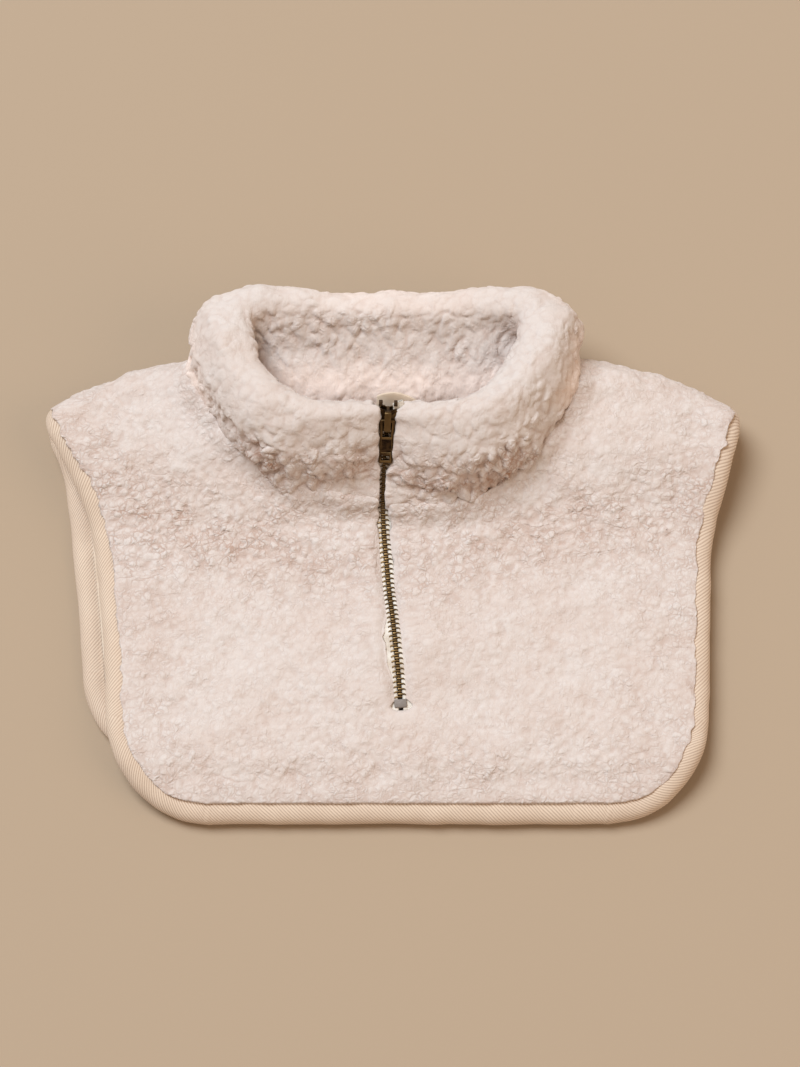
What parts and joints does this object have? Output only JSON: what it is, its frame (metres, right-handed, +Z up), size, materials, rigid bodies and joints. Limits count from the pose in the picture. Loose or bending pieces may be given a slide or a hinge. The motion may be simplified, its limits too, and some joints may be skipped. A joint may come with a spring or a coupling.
{
  "type": "zip-front neck warmer bib",
  "caption": "Bib-shaped pull-on neck warmer of curly pile fleece with a padded stand collar, twill edge binding and a half zip with a pull tab, lying face up.",
  "frame": {"origin": "middle of the rectangle that the neck warmer covers as it lies on its back panel, on the surface", "axes": "+X across the shoulders towards the right of someone looking at the zip, +Y from the hem to the collar, +Z up out of the front"},
  "size_m": [0.3514, 0.2673, 0.0668],
  "materials": {
    "pile_fleece": "curly pile, matt",
    "lining_cloth": "plain weave, matt",
    "twill_binding": "twill weave, matt",
    "zip_tape": "woven tape, matt",
    "antique_brass": "antiqued, satin with worn edges",
    "grey_metal": "satin"
  },
  "bodies": {
    "garment": {"front_panel": "pile_fleece", "back_panel": "pile_fleece", "back_lining": "lining_cloth", "collar": "pile_fleece", "edge_binding": "twill_binding", "zip_guard": "lining_cloth", "zip_tape_left": "zip_tape", "zip_tape_right": "zip_tape", "zip_teeth_left": "antique_brass", "zip_teeth_right": "antique_brass", "zip_top_stop_left": "antique_brass", "zip_top_stop_right": "antique_brass", "zip_slider": "antique_brass", "zip_bottom_stop": "grey_metal"},
    "pull": {"zip_pull": "antique_brass"}
  },
  "joints": [
    {"name": "pull_hinge", "type": "hinge", "parent": "garment", "child": "pull", "pos_m": [-0.00181, 0.05435, 0.0594], "axis": [-0.9987, 0.0338, 0.0391], "range_deg": [0, 165]}
  ]
}
